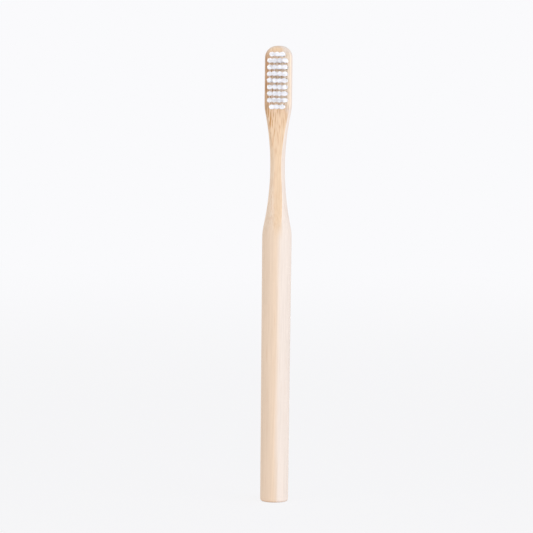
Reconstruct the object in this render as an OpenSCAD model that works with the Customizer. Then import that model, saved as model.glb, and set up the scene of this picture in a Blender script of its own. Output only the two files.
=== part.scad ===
// Manual toothbrush with a round bamboo handle.
//
// The handle is one piece: a rod turned to a slim neck and a wider head, then
// milled flat in front, where the bristles stand, and behind the head.
// Each bundle of bristles is folded around a small brass anchor and driven
// into its own blind hole in the front face.
//
// Millimetres. +Z runs up the handle from the centre of its base, the bristles
// point along -Y, and X runs across the brush.

/* [Grip] */
// Height of the whole brush, from its base to the end of the head
brush_len = 190; // [175:1:210]
// Diameter of the grip at its base
base_d = 11.7; // [10:0.1:12.2]
// Diameter of the grip where the shoulder begins
grip_d = 12.3; // [11.6:0.1:14]
// Radius of the sanded rim around the base
rim_r = 1.1; // [0.4:0.1:2.5]

/* [Neck] */
// Diameter of the neck at its waist
neck_d = 6.1; // [5.6:0.1:7.4]
// From the head's heel down to the waist of the neck
waist_below_heel = 24.2; // [20:0.2:32]
// From the waist down to the shoulder, where the grip begins
shoulder_below_waist = 27; // [24:0.5:34]
// From the waist down to where the milled face starts to sweep out
sweep_below_waist = 5; // [2:0.5:7]
// How much of the radius the sanding takes off the shoulder's edge
shoulder_ease = 0.15; // [0.05:0.01:0.3]
// How much of the radius the sanding takes off the head's heel
heel_ease = 0.12; // [0.05:0.01:0.3]

/* [Head] */
// From the handle's axis to the milled face that holds the bristles
face_depth = 2.7; // [2.4:0.1:3]
// From the handle's axis to the milled back, at the waist
back_depth = 3; // [2.7:0.1:3.3]
// How far the back leans in between the waist and the end of the head
back_lean = 0.4; // [0:0.1:0.6]
// Radius of the sanded edges between the milled faces and the turned sides
edge_r = 0.8; // [0.4:0.1:1.1]
// Corner radius of the head's end, seen from the front
end_corner_r = 4.8; // [3:0.1:5]
// Corner radius of the head's end, seen from the side
end_side_r = 1.5; // [0.8:0.1:2]

/* [Bristle field] */
// Number of rows of tufts
row_count = 9; // [7:1:10]
// Number of tufts in a full row
full_row_count = 4; // [4:1:5]
// Distance between rows
row_pitch = 2.7; // [2.5:0.1:3]
// Distance between the tufts of a row
tuft_pitch = 2.2; // [2.1:0.05:2.5]
// From the end of the head to the first row
end_margin = 3.6; // [3:0.1:5]
// From the last row to the head's heel
heel_margin = 0.7; // [0:0.1:3]
// From the axes of the outer tufts to the head's sides
side_margin = 2.4; // [2.2:0.1:3]

/* [Tufts] */
// Height of the bristles above the milled face
bristle_h = 10.5; // [8:0.5:12.5]
// Diameter of a tuft's blind hole
hole_d = 1.7; // [1.6:0.05:1.8]
// Depth of a tuft's blind hole
hole_depth = 3.4; // [3:0.1:3.8]
// Diameter of a tuft across its tips
tip_d = 2.08; // [1.8:0.02:2.08]
// Thickness of one strand
strand_t = 0.26; // [0.2:0.01:0.27]
// Strands in the outer ring of a tuft
outer_strands = 9; // [7:1:9]
// Strands inside that ring
inner_strands = 3; // [2:1:3]

/* [Anchors] */
// Width of an anchor, whose two ends bite into the wood
anchor_w = 2.15; // [2:0.05:2.3]
// Height of an anchor, along the hole
anchor_h = 1.6; // [1.2:0.1:1.8]
// Thickness of an anchor's sheet
anchor_t = 0.3; // [0.2:0.02:0.34]
// Thickness of the folded bristles under an anchor
fold_t = 0.5; // [0.4:0.05:0.8]

/* [Clearances] */
// Gap between a tuft and the wall of its hole
tuft_fit = 0.05; // [0.03:0.01:0.1]
// Gap around an anchor in its slits
anchor_fit = 0.03; // [0.02:0.01:0.06]

/* [Hidden] */

base_r = base_d/2;
grip_r = grip_d/2;
neck_r = neck_d/2;
hole_r = hole_d/2;

// The head is as wide and as long as its field of tufts asks
head_r = (full_row_count - 1)*tuft_pitch/2 + side_margin;
head_len = end_margin + (row_count - 1)*row_pitch + heel_margin;

// Heights of the handle's stations. The plain grip ends a radius below the
// shoulder, where its edge begins to turn inward.
heel_z = brush_len - head_len;
waist_z = heel_z - waist_below_heel;
sweep_z = waist_z - sweep_below_waist;
shoulder_z = waist_z - shoulder_below_waist;
grip_top_z = shoulder_z - grip_r;

// How finely curves are cut: rings of the handle, from its rim to the head's end
rim_rings = 8;
grip_rings = 3;
shoulder_rings = 12;
neck_rings = 10;
throat_rings = 9;
heel_rings = 8;
head_rings = 6;
end_rings = 9;
// Length of the finely cut stretch on each side of the heel, in head radii
heel_zone_share = 0.7;
heel_zone = heel_zone_share*head_r;

// Corners of one quarter of a section: along the sanded edge, then along the
// turned side. Where the section is round they lie an even angle apart.
edge_steps = 4;
side_steps = 9;
even_angle = 90/(edge_steps + side_steps + 0.5);
// Most of a milled face's depth that its sanded edge may take
edge_limit_share = 0.5;
// Facets around a tuft's root and its hole
hole_facets = 32;

// Where the two rings of strands stand in a tuft's root. The first share is of
// a strand's thickness, and the second of the outer ring's radius.
strand_inset_share = 0.75;
inner_ring_share = 0.38;
strand_corners = 4;
root_r = hole_r - tuft_fit;
root_ring_r = root_r - strand_inset_share*strand_t;
tip_ring_r = tip_d/2 - strand_inset_share*strand_t;
// How deep the strands stand in the root
strand_root = hole_r;

// How far a cut runs past the face that it opens
overrun = hole_r;

// The first and the last row lose one tuft each to the head's rounded outline
function tufts_in_row(row) = full_row_count - (row == 1 || row == row_count ? 1 : 0);
function tuft_name(row, place) = str("tuft_row", row, "_", place);
TUFTS = [for (row = [1:row_count]) for (place = [1:tufts_in_row(row)]) [row, place]];

// Rise at the distance x of an arc that leaves a level line and has risen by
// rise at the distance run. It climbs on past there for twice its rise.
function arc_rise(x, run, rise) =
    let (radius = (run*run + rise*rise)/(2*rise))
    radius - sqrt(radius*radius - pow(min(x, run + 2*rise), 2));

// The smaller of a and b, less ease where the two are equal
function eased_min(a, b, ease) =
    let (overlap = max(0, 1 - abs(a - b)/(4*ease)))
    min(a, b) - ease*overlap*overlap;

// How far a corner of radius corner_r draws in, at the distance x from the end
function corner_inset(x, corner_r) =
    let (rise = max(0, corner_r - x))
    corner_r - sqrt(max(0, corner_r*corner_r - rise*rise));
function end_inset(z, corner_r) = corner_inset(brush_len - z, corner_r);

// Radius that the lathe leaves at height z: a tapered grip, two long arcs that
// meet at the waist, and straight sides along the head
function grip_radius(z) = base_r + (grip_r - base_r)*z/shoulder_z;
function lower_neck_radius(z) =
    neck_r + arc_rise(waist_z - z, shoulder_below_waist, grip_r - neck_r);
function upper_neck_radius(z) =
    neck_r + arc_rise(z - waist_z, waist_below_heel, head_r - neck_r);
function turned_radius(z) =
    z < waist_z
        ? eased_min(grip_radius(z), lower_neck_radius(z), shoulder_ease) - corner_inset(z, rim_r)
        : eased_min(head_r, upper_neck_radius(z), heel_ease) - end_inset(z, end_corner_r);

// Distance from the axis to the milled front and to the milled back. At its
// lower end each cut sweeps out along an arc, the front one to the shoulder.
function front_distance(z) =
    z < sweep_z
        ? face_depth + arc_rise(sweep_z - z, sweep_z - shoulder_z, grip_r - face_depth)
        : face_depth - end_inset(z, end_side_r);
function back_distance(z) =
    z < waist_z
        ? back_depth + arc_rise(waist_z - z, sweep_z - shoulder_z, grip_r - back_depth)
        : back_depth - back_lean*(z - waist_z)/(brush_len - waist_z) - end_inset(z, end_side_r);

// A section is a circle of radius r, milled flat at the distance d from the
// axis, with a sanded edge between the two. Angles start at the flat's middle.
function sanding(d) = min(edge_r, edge_limit_share*d);
function flat_half(r, d) = r > d ? sqrt(pow(r - sanding(d), 2) - pow(d - sanding(d), 2)) : 0;
function reach(angle, r, d) =
    let (e = sanding(d), x = flat_half(r, d))
    r <= d || angle >= atan2(x, d - e) ? r
    : angle <= atan2(x, d) ? d/cos(angle)
    : let (along = x*sin(angle) + (d - e)*cos(angle))
      along + sqrt(e*e - pow(r - e, 2) + along*along);
function corner_angles(r, d) =
    let (flat_end = max(even_angle/2, atan2(flat_half(r, d), d)))
    let (edge_end = max(even_angle*(edge_steps + 0.5), atan2(flat_half(r, d), d - sanding(d))))
    [
        for (step = [0:edge_steps]) flat_end + (edge_end - flat_end)*step/edge_steps,
        for (step = [1:side_steps]) edge_end + (90 - edge_end)*step/side_steps
    ];
function quarter(r, d) =
    [for (angle = corner_angles(r, d)) reach(angle, r, d)*[sin(angle), cos(angle)]];

// The whole section at height z, counterclockwise seen from above
quarter_corners = edge_steps + side_steps + 1;
function section(z) =
    let (front = quarter(turned_radius(z), front_distance(z)))
    let (back = quarter(turned_radius(z), back_distance(z)))
    [
        for (i = [0:quarter_corners - 1]) [front[i].x, -front[i].y, z],
        for (i = [quarter_corners - 2:-1:0]) [back[i].x, back[i].y, z],
        for (i = [0:quarter_corners - 1]) [-back[i].x, back[i].y, z],
        for (i = [quarter_corners - 2:-1:0]) [-front[i].x, -front[i].y, z]
    ];

function band(from, to, steps) = [for (step = [0:steps - 1]) from + (to - from)*step/steps];
RING_HEIGHTS = concat(
    [for (step = [0:rim_rings - 1]) rim_r*(1 - cos(90*step/rim_rings))],
    band(rim_r, grip_top_z, grip_rings),
    band(grip_top_z, shoulder_z + grip_r, shoulder_rings),
    band(shoulder_z + grip_r, waist_z, neck_rings),
    band(waist_z, heel_z - heel_zone, throat_rings),
    band(heel_z - heel_zone, heel_z + heel_zone, heel_rings),
    band(heel_z + heel_zone, brush_len - end_corner_r, head_rings),
    [for (step = [0:end_rings]) brush_len - end_corner_r*(1 - sin(90*step/end_rings))]
);

// Skins a list of rings that have the same number of corners, lowest first
module loft(rings) {
    n = len(rings[0]);
    top = len(rings) - 1;
    polyhedron(
        points = [for (ring = rings) each ring],
        faces = [
            [for (i = [0:n - 1]) i],
            for (k = [0:top - 1])
                for (i = [0:n - 1])
                    let (a = k*n + i, b = k*n + (i + 1) % n)
                    each [[a, a + n, b + n], [a, b + n, b]],
            [for (i = [n - 1:-1:0]) top*n + i]
        ]
    );
}

// Moves its children to a tuft's hole: Z then points out of the milled face,
// with 0 on the face, and Y runs up the brush
module at_tuft(row, place) {
    x = (place - (tufts_in_row(row) + 1)/2)*tuft_pitch;
    z = brush_len - end_margin - (row - 1)*row_pitch;
    translate([x, -face_depth, z]) rotate([90, 0, 0]) children();
}

// A plate as large as an anchor, widened all round by fit
module anchor_plate(fit) {
    translate([-anchor_t/2 - fit, -anchor_w/2 - fit, fold_t - hole_depth - fit])
        cube([anchor_t + 2*fit, anchor_w + 2*fit, anchor_h + 2*fit]);
}

// A blind hole, and the two slits that an anchor's ends cut on their way down
module tuft_hole() {
    translate([0, 0, -hole_depth])
        cylinder(h = hole_depth + overrun, r = hole_r, $fn = hole_facets);
    translate([-anchor_t/2 - anchor_fit, -anchor_w/2 - anchor_fit, fold_t - hole_depth - anchor_fit])
        cube([anchor_t + 2*anchor_fit, anchor_w + 2*anchor_fit, hole_depth - fold_t + anchor_fit + overrun]);
}

// One strand of four sides, from its foot in the root to its tip
module strand(foot, tip) {
    corners = [
        for (i = [0:strand_corners - 1])
            let (angle = atan2(foot.y, foot.x) + 360*(i + 0.5)/strand_corners)
            strand_t/sqrt(2)*[cos(angle), sin(angle)]
    ];
    loft([
        [for (corner = corners) [each (foot + corner), -strand_root]],
        [for (corner = corners) [each (tip + corner), bristle_h]]
    ]);
}

module strand_ring(count, ring_share) {
    for (i = [0:count - 1]) {
        direction = ring_share*[cos(360*i/count), sin(360*i/count)];
        strand(root_ring_r*direction, tip_ring_r*direction);
    }
}

module handle() {
    color("#efd5b4") difference() {
        loft([for (z = RING_HEIGHTS) section(z)]);
        for (tuft = TUFTS) at_tuft(tuft[0], tuft[1]) tuft_hole();
    }
}

module tuft(row, place) {
    color("#f5f5f6") at_tuft(row, place) {
        difference() {
            translate([0, 0, tuft_fit - hole_depth])
                cylinder(h = hole_depth - tuft_fit, r = root_r, $fn = hole_facets);
            anchor_plate(anchor_fit);
        }
        strand_ring(outer_strands, 1);
        strand_ring(inner_strands, inner_ring_share);
    }
}

module anchors() {
    color("#c8a24e")
        for (tuft = TUFTS) at_tuft(tuft[0], tuft[1]) anchor_plate(0);
}

handle();
anchors();
for (tuft = TUFTS)
    tuft(tuft[0], tuft[1]);
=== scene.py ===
"""A manual toothbrush with a bamboo handle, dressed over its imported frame.

The handle and the anchors are the frame's own solids with a finish. Every tuft is
built again from filaments, each folded around its anchor as in the real brush.
"""

import math

import bpy
import numpy as np
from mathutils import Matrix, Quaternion, Vector


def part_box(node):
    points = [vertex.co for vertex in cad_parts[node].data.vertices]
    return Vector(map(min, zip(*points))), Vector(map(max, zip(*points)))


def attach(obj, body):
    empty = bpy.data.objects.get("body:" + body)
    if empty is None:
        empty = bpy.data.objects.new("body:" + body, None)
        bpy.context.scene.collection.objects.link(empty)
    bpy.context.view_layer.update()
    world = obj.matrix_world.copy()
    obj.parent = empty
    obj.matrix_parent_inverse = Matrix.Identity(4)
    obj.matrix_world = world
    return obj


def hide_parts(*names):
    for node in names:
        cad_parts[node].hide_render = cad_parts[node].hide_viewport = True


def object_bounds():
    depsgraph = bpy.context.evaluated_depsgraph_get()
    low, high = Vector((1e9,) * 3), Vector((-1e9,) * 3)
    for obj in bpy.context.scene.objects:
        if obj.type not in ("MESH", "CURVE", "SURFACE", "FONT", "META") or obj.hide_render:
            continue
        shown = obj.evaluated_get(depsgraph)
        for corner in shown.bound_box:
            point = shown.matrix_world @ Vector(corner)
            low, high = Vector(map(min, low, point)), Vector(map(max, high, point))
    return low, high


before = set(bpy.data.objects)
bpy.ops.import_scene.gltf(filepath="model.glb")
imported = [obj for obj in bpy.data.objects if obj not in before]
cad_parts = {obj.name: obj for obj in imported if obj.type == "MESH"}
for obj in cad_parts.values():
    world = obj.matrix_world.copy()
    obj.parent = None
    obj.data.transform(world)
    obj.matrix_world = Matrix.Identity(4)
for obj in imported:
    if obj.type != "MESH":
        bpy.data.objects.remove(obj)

bl_info = {
    "name": "Bamboo toothbrush",
    "version": (1, 0, 0),
    "blender": (4, 5, 0),
    "location": "3D View > Sidebar > Toothbrush",
    "description": "Finishes the handle and the anchors, builds the bristles and sets the studio",
    "category": "Object",
}

CAD_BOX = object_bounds()
HANDLE, ANCHORS = "handle", "anchors"
TUFTS = sorted(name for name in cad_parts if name.startswith("tuft_row"))
MM = 0.001

# Edges of the handle that are steeper than this stay sharp.
EDGE_ANGLE = math.radians(32)
# Half the width of the head, in millimetres. It is rounded about a point this far below its end.
HEAD_HALF = 5.7
# Where the painted light around the end begins and where it is full, from that half width outwards.
PAINTED_LIGHT_RIM = (-1.1, 0.3)
# How far the painted light on the wood between the tufts runs past them on the right, in millimetres.
PAINTED_LIGHT_MARGIN = 1.6
# How wide the border is in which that painted light fades out.
PAINTED_LIGHT_BORDER = 0.6

# The wood's look changes over these heights on the handle, in millimetres, from the first to the second.
FLAT_STARTS = (108, 120)
# Painted light: down the neck the shaded left is painted paler towards the lower of these heights.
NECK_PAINTED_LIGHT = (150, 122)
DASHES_OPEN = (142, 161)
HEAD_STARTS = (152, 170)
HEEL_ENDS = (162, 167)
END_ROUNDS = (184, 186.5)
# The painted shade along the left of the head and the opened dashes stop below the end, between these
# heights.
END_PALES = (189.5, 184.5)

# It changes over these places across the handle too, where the brush's left is below zero.
# Painted light: the turned wood is painted from tan to nearly white across here, towards the key lamp on
# the right.
PAINTED_LIGHT_ACROSS = (0.6, 3.2)
LATHE_DEEPENS = (-0.6, -1.6)
# Painted light: the milled face is painted paler towards the right across here.
FLAT_PAINTED_LIGHT = (3, 5)
# Painted shade: the left of the head is painted brown across here.
PAINTED_SHADE_NEARS = (-1, -5.2)
BUNDLES_CROWD = (4, -5)
DASHES_CROWD = (4.5, -2)
# Painted shade and light on the wood between the tufts: browner to the left across the first, whiter to the
# right across the second.
PAINTED_SHADE_LEFT_OF_TUFTS = (-1, -4)
PAINTED_LIGHT_RIGHT_OF_TUFTS = (0, 4)

# Width across the handle and length along it of the wood's broad patterns, in millimetres.
WANDER = (33.3, 55.6)
PATCHES = (2.5, 20)
BANDS = (1.82, 50)
# How many times as long as it is wide a line of grain is, and a line that the rolls leave in brass.
GRAIN_STRETCH = 60
ROLLING_STRETCH = 30
# Width and length of the lines that the die leaves on nylon. The real ones are 0.02 mm wide. These are
# three times as wide, so that they show.
DIE_LINES = (1 / 15, 2.8)

# Heights of the rings that round a filament's end, as shares of its radius.
DOME = (0.55, 0.88)
# Corners around a filament, rings up each of its legs, and rings around its fold.
CORNERS = 8
LEG_RINGS = 7
FOLD_RINGS = 5
# The first ring above the face, as a share of the bristle's height.
FIRST_RING = 0.12
# How late a filament leaves its straight way up. At 1 it would lean evenly from the face.
FLARE = 1.25
# How far the round bundle of tips fills up to a square field.
FILL = 0.25
# Where the tips nearest to the tuft's middle line stand, as a share of the spread.
INNER_TIP = 0.1
# How far single tips stand off their places, as a share of the spread.
SCATTER = 0.035
# How far a filament bows sideways on its way up, in millimetres.
BOW = 0.05
# How much shorter most filaments are, as a share of the trim.
SHORTER = 0.4
# How much one tuft's spread differs from another's.
SPREADS = (0.97, 1.03)
# The most that a whole tuft strays, in millimetres.
STRAY_LIMIT = 0.12
# Height above the face from which a filament is painted darker towards its ground end, painted shade on the
# tips that take the most light, in millimetres.
PAINTED_SHADE_ABOVE = 3
# Seeds that one brush uses, so that each tuft has its own.
SEEDS_A_BRUSH = 1000

# The floor is a flat disc of this radius, in metres, so little under the base that it touches nothing.
FLOOR_RADIUS = 6.0
FLOOR_CORNERS = 96
FLOOR_DROP = 0.02 * MM
# It goes over into the backdrop between these distances from the brush, in metres.
FLOOR_FADES = (0.15, 1.6)
# Width of the small bumps in its paper.
PAPER_TOOTH = 0.4 * MM


def linear(text):
    """An sRGB hex colour as the linear numbers that Blender's sockets take."""
    parts = [int(text[i : i + 2], 16) / 255 for i in (1, 3, 5)]
    return tuple(c / 12.92 if c <= 0.04045 else ((c + 0.055) / 1.055) ** 2.4 for c in parts)


def add(tree, kind, links=None, **settings):
    """Adds a node of this kind to the tree.

    Each socket in links takes another node's output or a plain value, and a pair of sockets takes a pair.
    Where they have numbers, 0 of a map range is its value, 1 and 2 are the ends of its range and 3 and 4
    what these become. 0 of a colour mix is the second colour's share, and 6 and 7 are the two colours.
    """
    node = tree.nodes.new(kind)
    for name, value in settings.items():
        setattr(node, name, value)
    for sockets, values in (links or {}).items():
        if not isinstance(sockets, tuple):
            sockets, values = (sockets,), (values,)
        for socket, value in zip(sockets, values):
            if isinstance(value, bpy.types.NodeSocket):
                tree.links.new(value, node.inputs[socket])
            else:
                node.inputs[socket].default_value = value
    return node


def new_material(name):
    """An empty node material of this name."""
    material = bpy.data.materials.new(name)
    material.use_nodes = True
    material.node_tree.nodes.clear()
    return material


def in_millimetres(tree):
    """The piece's own coordinates in millimetres, which every pattern below is measured in."""
    place = add(tree, "ShaderNodeTexCoord").outputs["Object"]
    return add(tree, "ShaderNodeVectorMath", {0: place, "Scale": 1 / MM}, operation="SCALE").outputs[0]


def in_cells(tree, place, width, length):
    """The place counted in a pattern's cells, each this wide and this long in millimetres."""
    cells = (1 / width, 1 / width, 1 / length)
    return add(tree, "ShaderNodeVectorMath", {0: place, 1: cells}, operation="MULTIPLY").outputs[0]


def color_prop(name, description, text):
    """A colour that a user can change, given as sRGB hex."""
    return bpy.props.FloatVectorProperty(
        name=name, description=description, default=linear(text), subtype="COLOR", size=3, min=0, max=1
    )


def length_prop(name, description, millimetres):
    """A length that a user can change, given in millimetres."""
    return bpy.props.FloatProperty(
        name=name,
        description=description,
        default=millimetres * MM,
        min=0,
        subtype="DISTANCE",
        unit="LENGTH",
        precision=5,
    )


def angle_prop(name, description, degrees):
    """An angle that a user can change, given in degrees."""
    return bpy.props.FloatProperty(
        name=name,
        description=description,
        default=math.radians(degrees),
        subtype="ANGLE",
        unit="ROTATION",
    )


class BambooFinish(bpy.types.PropertyGroup):
    # Painted light: this paler colour is laid towards the brush's right, down the neck's shaded left and on
    # the end's rounding.
    pale: color_prop("Inner wood", "Colour of the soft wood from the inside of the culm's wall", "#f4e6db")
    tan: color_prop("Outer wood", "Colour of the wood near the culm's skin", "#f3d9bf")
    milled: color_prop("Milled wood", "Colour of the wood that the flat cut opens at the neck", "#f5d7b6")
    # Painted light: the wood between the tufts is painted in this paler colour, in place of light that the
    # rows of bristles shut out.
    painted_light: color_prop("Dry wood", "Colour of the wood between the tufts, which no oil reaches", "#ffe6cc")
    # Painted light: a whiter colour of it, laid towards the brush's right.
    bright: color_prop("Bright wood", "Colour of the dry wood from the inside of the wall", "#ffecd6")
    # Painted shade: the brown laid along the left of the head, in place of the tufts' shadow and the shaded
    # side.
    skin: color_prop("Skin side", "Colour along the left of the head, next to the culm's skin", "#c79367")
    fibre: color_prop("Fibre bundles", "Colour of the hard bundles that run along the handle", "#ca9150")
    bundle_pitch: length_prop("Bundle pitch", "Distance between two fibre bundles", 1.15)
    bundle_reach: length_prop("Bundle reach", "Length over which one bundle stays in its place", 13)
    dash_pitch: length_prop("Dash pitch", "Distance between two bundles that the milled face opens", 0.36)
    dash_reach: length_prop("Dash length", "Distance from one opened bundle to the next above it", 4.5)
    grain_pitch: length_prop("Grain pitch", "Width of one fine line of grain", 0.2)


class BristleSizes(bpy.types.PropertyGroup):
    # The real filaments are 0.2 mm thick. Drawn a quarter thicker, fewer of them fill a tuft.
    filament_d: length_prop("Filament diameter", "Thickness of one filament", 0.25)
    root_pitch: length_prop("Pitch in the hole", "Distance between two filaments in the hole", 0.14)
    hole_d: length_prop("Hole diameter", "Diameter of the blind hole that holds a tuft", 1.7)
    hole_clearance: length_prop("Clearance", "Gap between the outer filaments and the hole", 0.01)
    anchor_gap: length_prop("Gap at the anchor", "From the tuft's axis to its first filament's", 0.285)
    anchor_foot: length_prop("Anchor's foot", "Depth of the anchor's lower edge under the face", 2.9)
    fold_drop: length_prop("Fold", "How far the outermost filament's fold reaches under the anchor", 0.36)
    face_depth: length_prop("Face", "From the handle's axis to the face that the tufts stand on", 2.7)
    spread_across: length_prop("Spread across", "From the tuft's axis to its outermost tip sideways", 1.13)
    spread_up: length_prop("Spread along", "From the tuft's axis to its outermost tip up the brush", 1.16)
    gather: bpy.props.FloatProperty(
        name="Gather",
        description="Share of a tuft's distance from the middle line that its tips lean back",
        default=0.08,
        min=0,
        max=1,
        subtype="FACTOR",
    )
    stray: length_prop("Stray", "How far a whole tuft's tips stand off their place", 0.07)
    trim: length_prop("Trim", "How unevenly the tips are cut", 0.12)
    nylon: color_prop("Nylon", "Colour of the filaments", "#fcfcff")
    seed: bpy.props.IntProperty(name="Seed", description="Seed of the filaments' bends", default=4, min=0)


class BrassFinish(bpy.types.PropertyGroup):
    brass: color_prop("Brass", "Colour of the rolled brass", "#d9b56c")
    rolling_pitch: length_prop("Rolling lines", "Distance between two lines that the rolls left", 0.05)


class Studio(bpy.types.PropertyGroup):
    backdrop: color_prop("Backdrop", "Colour of the backdrop", "#fafafc")
    floor: color_prop("Floor", "Colour of the floor under the brush", "#fefeff")
    paper: color_prop("Paper", "Colour of the floor's paper, which takes the shadow", "#f3f3f9")
    sky_level: bpy.props.FloatProperty(
        name="Room light", description="Strength of the even light from all sides", default=0.62, min=0
    )
    key_power: bpy.props.FloatProperty(
        name="Key light", description="Power of the lamp on the right", default=6.6, min=0, unit="POWER"
    )
    fill_power: bpy.props.FloatProperty(
        name="Fill light", description="Power of the lamp on the left", default=3.7, min=0, unit="POWER"
    )
    key_turn: angle_prop("Key angle", "How far to the brush's right the key light stands", 56.8)
    fill_turn: angle_prop("Fill angle", "How far to the brush's right the fill light stands", -42.2)
    lamp_distance: length_prop("Lamp distance", "From the brush to each lamp", 1280)
    lamp_height: length_prop("Lamp height", "Height of both lamps, level with the bristles", 177)
    lamp_width: length_prop("Lamp width", "Width of both lamps", 1200)
    lamp_depth: length_prop("Lamp depth", "How tall both lamps are", 40)
    distance: length_prop("Camera distance", "From the camera to the brush", 1100)
    field: length_prop("Field", "Width of the picture at the brush", 222.1)
    aim_height: length_prop("Aim", "Height on the brush of the picture's middle", 98.3)
    aim_left: length_prop("Aim left", "How far to the brush's left the picture's middle is", 4.2)
    azimuth: angle_prop("Azimuth", "How far the camera stands to the brush's right", 3.3)
    elevation: angle_prop("Elevation", "How far the camera looks down", 3.5)
    roll: angle_prop("Roll", "How far the brush leans in the picture", 0.6)


def shade_by_angle(piece, angle):
    """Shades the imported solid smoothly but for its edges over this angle, and moves no vertex."""
    mesh = piece.data
    if "custom_normal" in mesh.attributes:
        mesh.attributes.remove(mesh.attributes["custom_normal"])
    mesh.polygons.foreach_set("use_smooth", [True] * len(mesh.polygons))
    weld = piece.modifiers.new("weld", "WELD")
    weld.merge_threshold = 0.002 * MM
    tree = bpy.data.node_groups.new(piece.name + "_edges", "GeometryNodeTree")
    for in_out in ("INPUT", "OUTPUT"):
        tree.interface.new_socket("Geometry", in_out=in_out, socket_type="NodeSocketGeometry")
    given = add(tree, "NodeGroupInput").outputs["Geometry"]
    steepness = add(tree, "GeometryNodeInputMeshEdgeAngle").outputs["Unsigned Angle"]
    steep = add(tree, "FunctionNodeCompare", {0: steepness, 1: angle}, operation="GREATER_THAN")
    sharp = add(
        tree,
        "GeometryNodeSetShadeSmooth",
        {"Geometry": given, "Selection": steep.outputs["Result"], "Shade Smooth": False},
        domain="EDGE",
    )
    add(tree, "NodeGroupOutput", {"Geometry": sharp.outputs["Geometry"]})
    piece.modifiers.new("edges", "NODES").node_group = tree
    weighted = piece.modifiers.new("normals", "WEIGHTED_NORMAL")
    weighted.keep_sharp = True


def tuft_field():
    """The lowest and highest corners of the space that all the tufts fill."""
    corners = [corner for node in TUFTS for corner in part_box(node)]
    low, high = (Vector([pick(values) for values in zip(*corners)]) for pick in (min, max))
    return low, high


def wandering(tree, place):
    """The place moved a few tenths of a millimetre sideways, as the bundles wander up the handle."""
    most = 1.2
    slow = in_cells(tree, place, *WANDER)
    wander = add(tree, "ShaderNodeTexNoise", {"Vector": slow, "Scale": 1, "Detail": 1})
    offset = add(
        tree,
        "ShaderNodeVectorMath",
        {0: wander.outputs["Color"], 1: (2 * most, 2 * most, 0), 2: (-most, -most, 0)},
        operation="MULTIPLY_ADD",
    )
    return add(tree, "ShaderNodeVectorMath", {0: place, 1: offset.outputs[0]}).outputs[0]


def fibre_bundles(tree, finish, bent, axes, patch):
    """How much of a hard bundle there is, from 0 to 1. A cell of the pattern is a stretch of one bundle."""
    cells = in_cells(tree, bent, finish.bundle_pitch / MM, finish.bundle_reach / MM)
    bundles = add(tree, "ShaderNodeTexVoronoi", {"Vector": cells, "Scale": 1, "Randomness": 0.9})
    core = add(
        tree,
        "ShaderNodeMapRange",
        {0: bundles.outputs["Distance"], (1, 2): (0.08, 0.4), (3, 4): (1, 0)},
        interpolation_type="SMOOTHSTEP",
    )
    # They are denser towards the culm's skin, which lay on the brush's left, and come in patches.
    left = add(tree, "ShaderNodeMapRange", {0: axes.outputs["X"], (1, 2): BUNDLES_CROWD, 3: 0.45})
    patchy = add(tree, "ShaderNodeMapRange", {0: patch, (1, 2): (0.35, 0.65), 3: 0.1})
    bundle = core.outputs[0]
    for share in (left.outputs[0], patchy.outputs[0]):
        bundle = add(tree, "ShaderNodeMath", {0: bundle, 1: share}, operation="MULTIPLY").outputs[0]
    return bundle


def opened_dashes(tree, finish, bent, axes, cut, below_end):
    """The bundles on the milled face. It meets them at a small angle, so it shows each as a short dash."""
    cells = in_cells(tree, bent, finish.dash_pitch / MM, finish.dash_reach / MM)
    dashes = add(tree, "ShaderNodeTexNoise", {"Vector": cells, "Scale": 1, "Detail": 1.5})
    dash = add(
        tree,
        "ShaderNodeMapRange",
        {0: dashes.outputs["Fac"], (1, 2): (0.46, 0.68)},
        interpolation_type="SMOOTHSTEP",
    )
    # The cut opens them most at the head and its heel, and most on the skin side.
    deep = add(
        tree,
        "ShaderNodeMapRange",
        {0: axes.outputs["Z"], (1, 2): DASHES_OPEN, 3: 0.24},
        interpolation_type="SMOOTHSTEP",
    )
    side = add(tree, "ShaderNodeMapRange", {0: axes.outputs["X"], (1, 2): DASHES_CROWD, 3: 0.25})
    opened = dash.outputs[0]
    for share in (deep.outputs[0], side.outputs[0], cut, below_end):
        opened = add(tree, "ShaderNodeMath", {0: opened, 1: share}, operation="MULTIPLY").outputs[0]
    return opened


def turned_wood_painted_light(tree, finish, axes, bands):
    """The turned wood, tan on the left and painted nearly white towards the right as painted light from the
    key lamp, on a line that wavers up the grip.
    """
    waver = 1.6
    sway = add(tree, "ShaderNodeMath", {0: bands, 1: waver, 2: axes.outputs["X"]}, operation="MULTIPLY_ADD")
    across = add(
        tree,
        "ShaderNodeMapRange",
        {0: sway.outputs[0], (1, 2): PAINTED_LIGHT_ACROSS},
        interpolation_type="SMOOTHSTEP",
    )
    colours = ((*finish.tan, 1), (*finish.pale, 1))
    return add(tree, "ShaderNodeMix", {0: across.outputs[0], (6, 7): colours}, data_type="RGBA").outputs[2]


def painted_light_end(tree, place, axes):
    """Where the rounding at the head's end is, which is painted paler than the flat as painted light."""
    centre = (0, 0, CAD_BOX[1][2] / MM - HEAD_HALF)
    begins, full = (HEAD_HALF + outwards for outwards in PAINTED_LIGHT_RIM)
    off = add(tree, "ShaderNodeVectorMath", {0: place, 1: centre}, operation="SUBTRACT")
    in_plane = add(tree, "ShaderNodeVectorMath", {0: off.outputs[0], 1: (1, 0, 1)}, operation="MULTIPLY")
    out = add(tree, "ShaderNodeVectorMath", {0: in_plane.outputs[0]}, operation="LENGTH")
    rounding = add(
        tree,
        "ShaderNodeMapRange",
        {0: out.outputs["Value"], (1, 2): (begins, full), 4: 0.65},
        interpolation_type="SMOOTHSTEP",
    )
    above = add(tree, "ShaderNodeMapRange", {0: axes.outputs["Z"], (1, 2): END_ROUNDS})
    both = {0: rounding.outputs[0], 1: above.outputs[0]}
    return add(tree, "ShaderNodeMath", both, operation="MULTIPLY").outputs[0]


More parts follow.
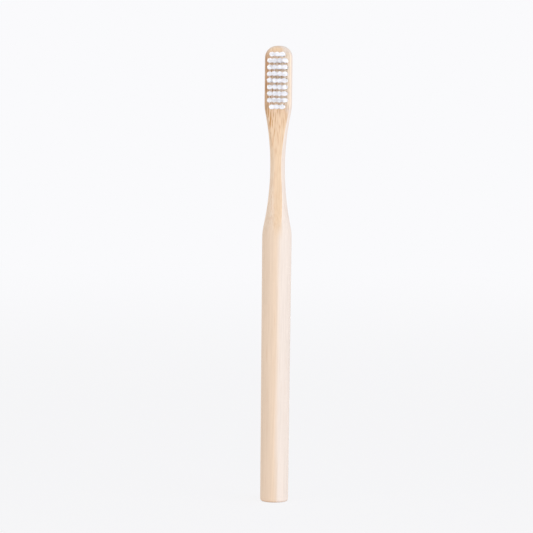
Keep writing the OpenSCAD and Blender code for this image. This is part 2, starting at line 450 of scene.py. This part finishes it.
def milled_wood(tree, finish, place, axes, left_side):
    """The deeper, browner wood that the flat cut opens on the front and back of the neck and head, with
    painted light laid on it.
    """
    # Painted light: it is painted paler to the right, towards the key lamp, sooner on the head than at its
    # heel.
    sooner = add(tree, "ShaderNodeMapRange", {0: axes.outputs["Z"], (1, 2): HEEL_ENDS, 4: 2.2})
    rightness = add(tree, "ShaderNodeMath", {0: sooner.outputs[0], 1: axes.outputs["X"]})
    painted_light_on_right = add(
        tree,
        "ShaderNodeMapRange",
        {0: rightness.outputs[0], (1, 2): FLAT_PAINTED_LIGHT, 4: 0.85},
        interpolation_type="SMOOTHSTEP",
    )
    # Painted light: the shaded left is painted paler down the neck.
    low_neck = add(tree, "ShaderNodeMapRange", {0: axes.outputs["Z"], (1, 2): NECK_PAINTED_LIGHT, 4: 0.4})
    painted_light_low_left = add(tree, "ShaderNodeMath", {0: low_neck.outputs[0], 1: left_side}, operation="MULTIPLY")
    wood = (*finish.milled, 1)
    for share in (painted_light_on_right.outputs[0], painted_light_low_left.outputs[0], painted_light_end(tree, place, axes)):
        links = {0: share, 6: wood, 7: (*finish.pale, 1)}
        wood = add(tree, "ShaderNodeMix", links, data_type="RGBA").outputs[2]
    return wood


def painted_shade_on_head_left(tree, axes, head, patch, below_end):
    """How much painted shade lies along the left of the head, in patches and below its end: a brown band in
    place of the tufts' shadow and the shaded side.
    """
    edge = add(
        tree,
        "ShaderNodeMapRange",
        {0: axes.outputs["X"], (1, 2): PAINTED_SHADE_NEARS, 3: 0.12},
        interpolation_type="SMOOTHSTEP",
    )
    spotty = add(tree, "ShaderNodeMapRange", {0: patch, (1, 2): (0.35, 0.6), 3: 0.62})
    near = head
    for share in (edge.outputs[0], below_end, spotty.outputs[0]):
        near = add(tree, "ShaderNodeMath", {0: near, 1: share}, operation="MULTIPLY").outputs[0]
    return near


def painted_light_between_tufts(tree, axes, normal, head):
    """Where the wood between the tufts on the front is painted paler: painted light in the shade of the
    rows of bristles.
    """
    low, high = tuft_field()
    painted_light = head
    for axis, start, end in (("X", low.x, high.x + PAINTED_LIGHT_MARGIN * MM), ("Z", low.z, high.z)):
        middle, half = (start + end) / 2 / MM, (end - start) / 2 / MM
        aside = add(tree, "ShaderNodeMath", {0: axes.outputs[axis], 1: middle}, operation="SUBTRACT")
        away = add(tree, "ShaderNodeMath", {0: aside.outputs[0]}, operation="ABSOLUTE")
        inside = add(
            tree,
            "ShaderNodeMapRange",
            {0: away.outputs[0], (1, 2): (half - PAINTED_LIGHT_BORDER, half), (3, 4): (1, 0)},
            interpolation_type="SMOOTHSTEP",
        )
        painted_light = add(tree, "ShaderNodeMath", {0: painted_light, 1: inside.outputs[0]}, operation="MULTIPLY").outputs[0]
    front = add(tree, "ShaderNodeMath", {0: normal.outputs["Y"], 1: -0.5}, operation="LESS_THAN")
    return add(tree, "ShaderNodeMath", {0: painted_light, 1: front.outputs[0]}, operation="MULTIPLY").outputs[0]


def painted_light_wood(tree, finish, axes):
    """The pale painted light between the tufts, with painted shade browner to the left and painted light
    whiter to the right.
    """
    browner = add(tree, "ShaderNodeMapRange", {0: axes.outputs["X"], (1, 2): PAINTED_SHADE_LEFT_OF_TUFTS, 4: 0.5})
    whiter = add(tree, "ShaderNodeMapRange", {0: axes.outputs["X"], (1, 2): PAINTED_LIGHT_RIGHT_OF_TUFTS})
    wood = (*finish.painted_light, 1)
    for share, colour in ((browner, finish.skin), (whiter, finish.bright)):
        links = {0: share.outputs[0], 6: wood, 7: (*colour, 1)}
        wood = add(tree, "ShaderNodeMix", links, data_type="RGBA").outputs[2]
    return wood


def oiled_bamboo(finish):
    """Bamboo, turned, milled and sanded, then rubbed with oil.

    To the eye it is pale straw with hard brown bundles a millimetre apart that run up the handle. Where the
    milled face cuts them they show as dashes, on an end as dots. The sheen is low and broad.
    """
    material = new_material("bamboo_turned_milled_and_oiled")
    tree = material.node_tree
    place = in_millimetres(tree)
    bent = wandering(tree, place)
    axes = add(tree, "ShaderNodeSeparateXYZ", {0: place})
    normal = add(tree, "ShaderNodeSeparateXYZ", {0: add(tree, "ShaderNodeTexCoord").outputs["Normal"]})

    # Patches where the bundles crowd, broad bands of paler and browner wood, and fine lines of grain, of
    # which a cell holds a dark and a pale one.
    patch_cells = in_cells(tree, bent, *PATCHES)
    patch = add(tree, "ShaderNodeTexNoise", {"Vector": patch_cells, "Scale": 1, "Detail": 2}).outputs["Fac"]
    band_cells = in_cells(tree, bent, *BANDS)
    bands = add(tree, "ShaderNodeTexNoise", {"Vector": band_cells, "Scale": 1, "Detail": 2}).outputs["Fac"]
    grain_width = 2 * finish.grain_pitch / MM
    grain_cells = in_cells(tree, bent, grain_width, GRAIN_STRETCH * grain_width)
    grain = add(tree, "ShaderNodeTexNoise", {"Vector": grain_cells, "Scale": 1, "Detail": 3}).outputs["Fac"]
    bundle = fibre_bundles(tree, finish, bent, axes, patch)

    # The flat cut faces front and back. On the left the lathe went as deep, so the same wood runs on there.
    level = add(tree, "ShaderNodeMath", {0: normal.outputs["Y"]}, operation="ABSOLUTE")
    flat = add(
        tree,
        "ShaderNodeMapRange",
        {0: level.outputs[0], (1, 2): (0.86, 0.95)},
        interpolation_type="SMOOTHSTEP",
    )
    above, head = (
        add(
            tree,
            "ShaderNodeMapRange",
            {0: axes.outputs["Z"], (1, 2): heights},
            interpolation_type="SMOOTHSTEP",
        ).outputs[0]
        for heights in (FLAT_STARTS, HEAD_STARTS)
    )
    left_side = add(tree, "ShaderNodeMapRange", {0: axes.outputs["X"], (1, 2): LATHE_DEEPENS}).outputs[0]
    deep = add(tree, "ShaderNodeMath", {0: flat.outputs[0], 1: left_side}, operation="MAXIMUM")
    cut = add(tree, "ShaderNodeMath", {0: deep.outputs[0], 1: above}, operation="MULTIPLY").outputs[0]
    below_end = add(tree, "ShaderNodeMapRange", {0: axes.outputs["Z"], (1, 2): END_PALES}).outputs[0]

    # The wood: tan where turned and browner where milled, with painted light towards the right, at the end
    # and between the tufts, and painted shade along the left of the head.
    painted_shade_share = painted_shade_on_head_left(tree, axes, head, patch, below_end)
    wood = turned_wood_painted_light(tree, finish, axes, bands)
    for share, colour in (
        (cut, milled_wood(tree, finish, place, axes, left_side)),
        (painted_shade_share, (*finish.skin, 1)),
        (painted_light_between_tufts(tree, axes, normal, head), painted_light_wood(tree, finish, axes)),
    ):
        wood = add(tree, "ShaderNodeMix", {0: share, 6: wood, 7: colour}, data_type="RGBA").outputs[2]

    # Bands and grain lighten and darken it a little.
    tone = add(tree, "ShaderNodeMapRange", {0: bands, (1, 2): (0.25, 0.75), (3, 4): (0.95, 1.03)})
    line = add(tree, "ShaderNodeMapRange", {0: grain, (1, 2): (0.3, 0.7), (3, 4): (0.95, 1.03)})
    for share in (tone, line):
        links = {0: wood, "Scale": share.outputs[0]}
        wood = add(tree, "ShaderNodeVectorMath", links, operation="SCALE").outputs[0]

    # On the turned grip the bundles lie under a skin of sanding dust and oil, and show least. Under the
    # painted shade along the left of the head they are painted darker still.
    amount = add(tree, "ShaderNodeMapRange", {0: above, (3, 4): (0.16, 0.35)})
    faint = add(tree, "ShaderNodeMath", {0: bundle, 1: amount.outputs[0]}, operation="MULTIPLY")
    opened = opened_dashes(tree, finish, bent, axes, cut, below_end)
    shown = add(tree, "ShaderNodeMath", {0: faint.outputs[0], 1: opened}, operation="MAXIMUM")
    darker = add(tree, "ShaderNodeMapRange", {0: painted_shade_share, (3, 4): (1, 0.6)})
    links = {0: tuple(finish.fibre), "Scale": darker.outputs[0]}
    bundle_colour = add(tree, "ShaderNodeVectorMath", links, operation="SCALE")
    # End grain drinks more oil, so the base and its sanded rim are browner.
    end = add(tree, "ShaderNodeMapRange", {0: normal.outputs["Z"], (1, 2): (-0.25, -1), 4: 0.32})
    for share, colour in ((shown, bundle_colour.outputs[0]), (end, (*finish.fibre, 1))):
        links = {0: share.outputs[0], 6: wood, 7: colour}
        wood = add(tree, "ShaderNodeMix", links, data_type="RGBA").outputs[2]

    # The hard bundles stand a hundredth of a millimetre proud, and grain lines lie between them.
    relief = add(tree, "ShaderNodeMath", {0: grain, 1: 0.6, 2: bundle}, operation="MULTIPLY_ADD")
    bump = add(
        tree, "ShaderNodeBump", {"Strength": 0.6, "Distance": 0.02 * MM, "Height": relief.outputs[0]}
    )
    rough = add(tree, "ShaderNodeMapRange", {0: bundle, (3, 4): (0.56, 0.42)})
    surface = add(
        tree,
        "ShaderNodeBsdfPrincipled",
        {
            "Base Color": wood,
            "Roughness": rough.outputs[0],
            "IOR": 1.5,
            "Coat Weight": 0.12,
            "Coat Roughness": 0.4,
            "Normal": bump.outputs[0],
        },
    )
    add(tree, "ShaderNodeOutputMaterial", {"Surface": surface.outputs[0]})
    return material


def extruded_nylon(sizes):
    """Nylon 6.12, drawn to filament, crimped into the tuft and rounded at the tips.

    To the eye it is milky white and lets some light through, with a soft long gloss along each filament.
    """
    material = new_material("nylon_drawn_filament")
    tree = material.node_tree
    place = in_millimetres(tree)
    own = add(tree, "ShaderNodeAttribute", attribute_name="filament_shade")
    die_cells = in_cells(tree, place, *DIE_LINES)
    die = add(tree, "ShaderNodeTexNoise", {"Vector": die_cells, "Scale": 1, "Detail": 1}).outputs["Fac"]
    shade = add(tree, "ShaderNodeMapRange", {0: own.outputs["Fac"], 3: 0.96})
    # Painted shade: the filaments are painted darker towards their ground ends, which take the most light.
    axes = add(tree, "ShaderNodeSeparateXYZ", {0: place})
    height = -(CAD_BOX[0][1] + sizes.face_depth) / MM
    ends = (PAINTED_SHADE_ABOVE, height)
    ground = add(tree, "ShaderNodeMapRange", {0: axes.outputs["Z"], (1, 2): ends, (3, 4): (1, 0.91)})
    colour = tuple(sizes.nylon)
    for share in (shade, ground):
        links = {0: colour, "Scale": share.outputs[0]}
        colour = add(tree, "ShaderNodeVectorMath", links, operation="SCALE").outputs[0]
    rough = add(tree, "ShaderNodeMapRange", {0: die, (1, 2): (0.3, 0.7), (3, 4): (0.3, 0.42)})
    bump = add(tree, "ShaderNodeBump", {"Strength": 0.2, "Distance": 0.004 * MM, "Height": die})
    surface = add(
        tree,
        "ShaderNodeBsdfPrincipled",
        {
            "Base Color": colour,
            "Roughness": rough.outputs[0],
            "IOR": 1.53,
            "Subsurface Weight": 0.52,
            "Subsurface Radius": (1, 1, 1),
            "Subsurface Scale": 1.5 * MM,
            "Normal": bump.outputs[0],
        },
        subsurface_method="BURLEY",
    )
    add(tree, "ShaderNodeOutputMaterial", {"Surface": surface.outputs[0]})
    return material


def rolled_brass(finish):
    """Brass strip, cold rolled and cut.

    To the eye it is a bright yellow metal with hairlines along the strip and a slightly uneven gloss.
    """
    material = new_material("brass_cold_rolled_strip")
    tree = material.node_tree
    line_width = finish.rolling_pitch / MM
    line_cells = in_cells(tree, in_millimetres(tree), line_width, ROLLING_STRETCH * line_width)
    lines = add(tree, "ShaderNodeTexNoise", {"Vector": line_cells, "Scale": 1, "Detail": 2}).outputs["Fac"]
    shade = add(tree, "ShaderNodeMapRange", {0: lines, (1, 2): (0.3, 0.7), (3, 4): (0.9, 1.05)})
    links = {0: tuple(finish.brass), "Scale": shade.outputs[0]}
    colour = add(tree, "ShaderNodeVectorMath", links, operation="SCALE").outputs[0]
    rough = add(tree, "ShaderNodeMapRange", {0: lines, (1, 2): (0.3, 0.7), (3, 4): (0.24, 0.36)})
    bump = add(tree, "ShaderNodeBump", {"Strength": 0.3, "Distance": 0.004 * MM, "Height": lines})
    surface = add(
        tree,
        "ShaderNodeBsdfPrincipled",
        {"Base Color": colour, "Metallic": 1, "Roughness": rough.outputs[0], "Normal": bump.outputs[0]},
    )
    add(tree, "ShaderNodeOutputMaterial", {"Surface": surface.outputs[0]})
    return material


def packed_beside_anchor(pitch, first, limit):
    """Where the filaments stand on one side of the anchor, packed like oranges: (out, up, column)."""
    places, column, out = [], 0, first
    while out <= limit:
        shift = pitch / 2 if column % 2 else 0
        steps = int((math.sqrt(limit * limit - out * out) - shift) / pitch)
        ups = [shift + i * pitch for i in range(steps + 1)]
        ups += [-up for up in ups if up > 0]
        places += [(out, up, column) for up in sorted(ups)]
        column += 1
        out = first + column * pitch * math.sqrt(3) / 2
    return places


def tube_rings(path, radii):
    """The rings of corners around a path of points, carried along it without twisting."""
    path = np.asarray(path, float)
    along = np.gradient(path, axis=0)
    along /= np.linalg.norm(along, axis=1)[:, None]
    side = np.cross(along[0], (1.0, 0.0, 0.0))
    angles = np.arange(CORNERS) * 2 * math.pi / CORNERS
    rings = []
    for point, direction, radius in zip(path, along, radii):
        side = side - direction * (side @ direction)
        side /= np.linalg.norm(side)
        other = np.cross(direction, side)
        around = np.cos(angles)[:, None] * side + np.sin(angles)[:, None] * other
        rings.append(point + radius * around)
    return np.concatenate(rings)


def tube_faces(start, rings):
    """The faces of a tube whose vertices begin at start: its rings, and then the point on each end."""
    end = start + rings * CORNERS
    around = [(i, (i + 1) % CORNERS) for i in range(CORNERS)]
    faces = [
        (ring + i, ring + j, ring + j + CORNERS, ring + i + CORNERS)
        for ring in range(start, end - CORNERS, CORNERS)
        for i, j in around
    ]
    for i, j in around:
        faces.append((end, start + j, start + i))
        faces.append((end + 1, end - CORNERS + i, end - CORNERS + j))
    return faces


def filament_leg(foot, tip, bow, sunk, height, radius):
    """Half a filament, from beside the anchor up to its ground end, in the tuft's own millimetres."""
    leg = [(*foot, -sunk), (*foot, -sunk / 2), (*foot, 0.0)]
    straight = np.linspace(FIRST_RING, 1 - radius / height, LEG_RINGS)
    dome = [1 - (1 - share) * radius / height for share in DOME]
    for t in (*straight, *dome):
        place = foot + (tip - foot) * t**FLARE + bow * math.sin(math.pi * t) * t
        leg.append((*place, t * height))
    return leg


def fold(out, up, sunk, drop):
    """The way of a filament under the anchor, from one side of it to the other."""
    turns = np.linspace(0, math.pi, FOLD_RINGS + 2)[1:-1]
    return [(out * math.cos(turn), up, -sunk - drop * math.sin(turn)) for turn in turns]


def tip_place(out_share, up_share):
    """A filament's place in its hole, in shares of the hole's radius, moved out towards a square field."""
    tip = np.array((out_share, up_share))
    reach = max(abs(tip)) / np.linalg.norm(tip)
    return tip * (1 + FILL * (1 / reach - 1))


def tuft_mesh(name, sizes, height, lean, rng):
    """The mesh of one tuft in its own axes, in metres: X across the brush, Y up it, Z away from the face.

    Each filament runs down its hole on one side of the anchor, under the anchor and up on the other side.
    Its height and how far all its tips lean across are in millimetres.
    """
    radius = sizes.filament_d / 2 / MM
    first, sunk = sizes.anchor_gap / MM, sizes.anchor_foot / MM
    limit = (sizes.hole_d / 2 - sizes.hole_clearance) / MM - radius
    roots = packed_beside_anchor(sizes.root_pitch / MM, first, limit)
    columns = 1 + max(column for *_, column in roots)
    spread = np.array((sizes.spread_across, sizes.spread_up)) / MM * rng.uniform(*SPREADS)
    middle = rng.normal(0, sizes.stray / MM, 2).clip(-STRAY_LIMIT, STRAY_LIMIT) + (lean, 0)
    ground = [radius * math.sqrt(1 - share * share) for share in DOME]
    vertices, faces, shades, start = [], [], [], 0
    for out, up, column in roots:
        legs = []
        for side in (1, -1):
            far = INNER_TIP + (1 - INNER_TIP) * (out - first) / (limit - first)
            tip = tip_place(side * far, up / limit) + rng.normal(0, SCATTER, 2)
            top = height - abs(rng.normal(0, SHORTER)) * sizes.trim / MM
            bow = rng.normal(0, BOW, 2)
            foot = np.array((side * out, up))
            legs.append(filament_leg(foot, tip * spread + middle, bow, sunk, top, radius))
        drop = radius + (sizes.fold_drop / MM - radius) * column / (columns - 1)
        path = legs[0][::-1] + fold(out, up, sunk, drop) + legs[1]
        radii = [*ground[::-1], *[radius] * (len(path) - 2 * len(ground)), *ground]
        poles = [np.array(end) + (0, 0, (1 - DOME[-1]) * radius) for end in (path[0], path[-1])]
        tube = np.concatenate([tube_rings(path, radii), poles])
        vertices.append(tube)
        faces += tube_faces(start, len(path))
        shades += [rng.random()] * len(tube)
        start += len(tube)
    mesh = bpy.data.meshes.new(name)
    mesh.from_pydata((np.concatenate(vertices) * MM).tolist(), [], faces)
    mesh.polygons.foreach_set("use_smooth", [True] * len(mesh.polygons))
    mesh.attributes.new("filament_shade", "FLOAT", "POINT").data.foreach_set("value", shades)
    mesh.validate()
    return mesh


class TOOTHBRUSH_OT_handle(bpy.types.Operator):
    """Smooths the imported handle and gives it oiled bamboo"""

    bl_idname = "toothbrush.handle"
    bl_label = "Finish the handle"

    def execute(self, context):
        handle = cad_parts[HANDLE]
        shade_by_angle(handle, EDGE_ANGLE)
        handle.data.materials.clear()
        handle.data.materials.append(oiled_bamboo(context.scene.toothbrush_bamboo))
        return {"FINISHED"}


class TOOTHBRUSH_OT_tufts(bpy.types.Operator):
    """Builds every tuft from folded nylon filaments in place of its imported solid"""

    bl_idname = "toothbrush.tufts"
    bl_label = "Build the bristles"

    def execute(self, context):
        sizes = context.scene.toothbrush_bristles
        nylon = extruded_nylon(sizes)
        face = -sizes.face_depth
        for index, node in enumerate(TUFTS):
            low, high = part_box(node)
            rng = np.random.default_rng(sizes.seed * SEEDS_A_BRUSH + index)
            height = (face - low.y) / MM
            middle = (low + high) / 2
            lean = -sizes.gather * middle.x / MM
            mesh = tuft_mesh(node + "_filaments", sizes, height, lean, rng)
            mesh.materials.append(nylon)
            piece = bpy.data.objects.new(node + "_filaments", mesh)
            context.scene.collection.objects.link(piece)
            piece.location = (middle.x, face, middle.z)
            piece.rotation_euler = (math.pi / 2, 0, 0)
            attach(piece, "root")
            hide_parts(node)
        return {"FINISHED"}


class TOOTHBRUSH_OT_anchors(bpy.types.Operator):
    """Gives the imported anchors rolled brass"""

    bl_idname = "toothbrush.anchors"
    bl_label = "Finish the anchors"

    def execute(self, context):
        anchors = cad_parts[ANCHORS]
        anchors.data.materials.clear()
        anchors.data.materials.append(rolled_brass(context.scene.toothbrush_brass))
        return {"FINISHED"}


class TOOTHBRUSH_OT_studio(bpy.types.Operator):
    """Sets the floor, the room light, both lamps and the camera"""

    bl_idname = "toothbrush.studio"
    bl_label = "Set the studio"

    def execute(self, context):
        scene, studio = context.scene, context.scene.toothbrush_studio
        scene.view_settings.view_transform = "Standard"
        self.room(scene, studio)
        self.floor(scene, studio)
        self.lamp(scene, studio, "key", studio.key_power, studio.key_turn)
        self.lamp(scene, studio, "fill", studio.fill_power, studio.fill_turn)
        self.camera(scene, studio)
        return {"FINISHED"}

    def room(self, scene, studio):
        """Even light from all sides, and the backdrop's own colour to the camera and in reflections."""
        world = bpy.data.worlds.new("white_room")
        world.use_nodes = True
        world.node_tree.nodes.clear()
        tree = world.node_tree
        path = add(tree, "ShaderNodeLightPath")
        seen = path.outputs["Is Camera Ray"]
        for kind in ("Is Glossy Ray", "Is Transmission Ray"):
            either = {0: seen, 1: path.outputs[kind]}
            seen = add(tree, "ShaderNodeMath", either, operation="MAXIMUM").outputs[0]
        light = add(tree, "ShaderNodeBackground", {"Color": (1, 1, 1, 1), "Strength": studio.sky_level})
        backdrop = add(tree, "ShaderNodeBackground", {"Color": (*studio.backdrop, 1), "Strength": 1})
        mixed = add(tree, "ShaderNodeMixShader", {0: seen, 1: light.outputs[0], 2: backdrop.outputs[0]})
        add(tree, "ShaderNodeOutputWorld", {"Surface": mixed.outputs[0]})
        scene.world = world

    def paper(self, studio):
        """Matt white paper, whose colour runs into the backdrop's away from the brush: no horizon shows."""
        material = new_material("paper_matt_white")
        tree = material.node_tree
        place = add(tree, "ShaderNodeTexCoord").outputs["Object"]
        away = add(tree, "ShaderNodeVectorMath", {0: place}, operation="LENGTH")
        far = add(
            tree,
            "ShaderNodeMapRange",
            {0: away.outputs["Value"], (1, 2): FLOOR_FADES},
            interpolation_type="SMOOTHSTEP",
        ).outputs[0]
        path = add(tree, "ShaderNodeLightPath")
        either = {0: path.outputs["Is Camera Ray"], 1: path.outputs["Is Glossy Ray"]}
        seen = add(tree, "ShaderNodeMath", either, operation="MAXIMUM")
        tooth = add(tree, "ShaderNodeTexNoise", {"Vector": place, "Scale": 1 / PAPER_TOOTH, "Detail": 2})
        bump = add(
            tree, "ShaderNodeBump", {"Strength": 0.1, "Distance": 0.05 * MM, "Height": tooth.outputs["Fac"]}
        )
        paper = add(tree, "ShaderNodeBsdfDiffuse", {"Color": (*studio.paper, 1), "Normal": bump.outputs[0]})
        colours = ((*studio.floor, 1), (*studio.backdrop, 1))
        bright = add(tree, "ShaderNodeMix", {0: far, (6, 7): colours}, data_type="RGBA")
        lit = add(tree, "ShaderNodeEmission", {"Color": bright.outputs[2], "Strength": 1})
        # The camera sees the lit paper mixed with its own white, which softens the shadow.
        share = add(tree, "ShaderNodeMapRange", {0: far, 3: 0.8})
        both = {0: share.outputs[0], 1: seen.outputs[0]}
        only_seen = add(tree, "ShaderNodeMath", both, operation="MULTIPLY")
        mixed = add(
            tree, "ShaderNodeMixShader", {0: only_seen.outputs[0], 1: paper.outputs[0], 2: lit.outputs[0]}
        )
        add(tree, "ShaderNodeOutputMaterial", {"Surface": mixed.outputs[0]})
        return material

    def floor(self, scene, studio):
        """A flat round floor just under the base."""
        mesh = bpy.data.meshes.new("floor")
        angles = [2 * math.pi * i / FLOOR_CORNERS for i in range(FLOOR_CORNERS)]
        ring = [(FLOOR_RADIUS * math.cos(a), FLOOR_RADIUS * math.sin(a), -FLOOR_DROP) for a in angles]
        mesh.from_pydata(ring, [], [tuple(range(FLOOR_CORNERS))])
        mesh.materials.append(self.paper(studio))
        floor = bpy.data.objects.new("floor", mesh)
        scene.collection.objects.link(floor)

    def lamp(self, scene, studio, name, power, turn):
        """A wide, low lamp, so that it shines in between the rows of bristles."""
        data = bpy.data.lights.new(name, "AREA")
        data.shape = "RECTANGLE"
        data.size, data.size_y = studio.lamp_width, studio.lamp_depth
        data.energy = power
        lamp = bpy.data.objects.new(name, data)
        scene.collection.objects.link(lamp)
        away = Vector((math.sin(turn), -math.cos(turn), 0))
        lamp.location = away * studio.lamp_distance + Vector((0, 0, studio.lamp_height))
        lamp.rotation_euler = (-away).to_track_quat("-Z", "Y").to_euler()

    def camera(self, scene, studio):
        """The camera at the photograph's angle, with the brush a little off the middle."""
        data = bpy.data.cameras.new("camera")
        data.lens = data.sensor_width * studio.distance / studio.field
        camera = bpy.data.objects.new("camera", data)
        scene.collection.objects.link(camera)
        turn, tilt = studio.azimuth, studio.elevation
        back = Vector((math.sin(turn) * math.cos(tilt), -math.cos(turn) * math.cos(tilt), math.sin(tilt)))
        left = Vector((-math.cos(turn), -math.sin(turn), 0))
        aim = left * studio.aim_left + Vector((0, 0, studio.aim_height))
        camera.location = aim + back * studio.distance
        camera.rotation_mode = "QUATERNION"
        camera.rotation_quaternion = (-back).to_track_quat("-Z", "Y") @ Quaternion((0, 0, 1), studio.roll)
        scene.camera = camera


class TOOTHBRUSH_PT_panel(bpy.types.Panel):
    """Lists the toothbrush's sizes, colours and steps"""

    bl_idname = "TOOTHBRUSH_PT_panel"
    bl_label = "Toothbrush"
    bl_space_type = "VIEW_3D"
    bl_region_type = "UI"
    bl_category = "Toothbrush"

    def draw(self, context):
        for operator, group in STEPS:
            box = self.layout.box()
            box.operator(operator.bl_idname)
            settings = getattr(context.scene, group)
            for name in settings.__annotations__:
                box.prop(settings, name)


GROUPS = {
    "toothbrush_bamboo": BambooFinish,
    "toothbrush_bristles": BristleSizes,
    "toothbrush_brass": BrassFinish,
    "toothbrush_studio": Studio,
}
STEPS = (
    (TOOTHBRUSH_OT_handle, "toothbrush_bamboo"),
    (TOOTHBRUSH_OT_tufts, "toothbrush_bristles"),
    (TOOTHBRUSH_OT_anchors, "toothbrush_brass"),
    (TOOTHBRUSH_OT_studio, "toothbrush_studio"),
)
CLASSES = (*GROUPS.values(), *(step[0] for step in STEPS), TOOTHBRUSH_PT_panel)


def register():
    for cls in CLASSES:
        bpy.utils.register_class(cls)
    for name, group in GROUPS.items():
        setattr(bpy.types.Scene, name, bpy.props.PointerProperty(type=group))


def unregister():
    for name in GROUPS:
        delattr(bpy.types.Scene, name)
    for cls in reversed(CLASSES):
        bpy.utils.unregister_class(cls)


def main():
    register()
    bpy.ops.toothbrush.handle()
    bpy.ops.toothbrush.tufts()
    bpy.ops.toothbrush.anchors()
    bpy.ops.toothbrush.studio()


if __name__ == "__main__":
    main()
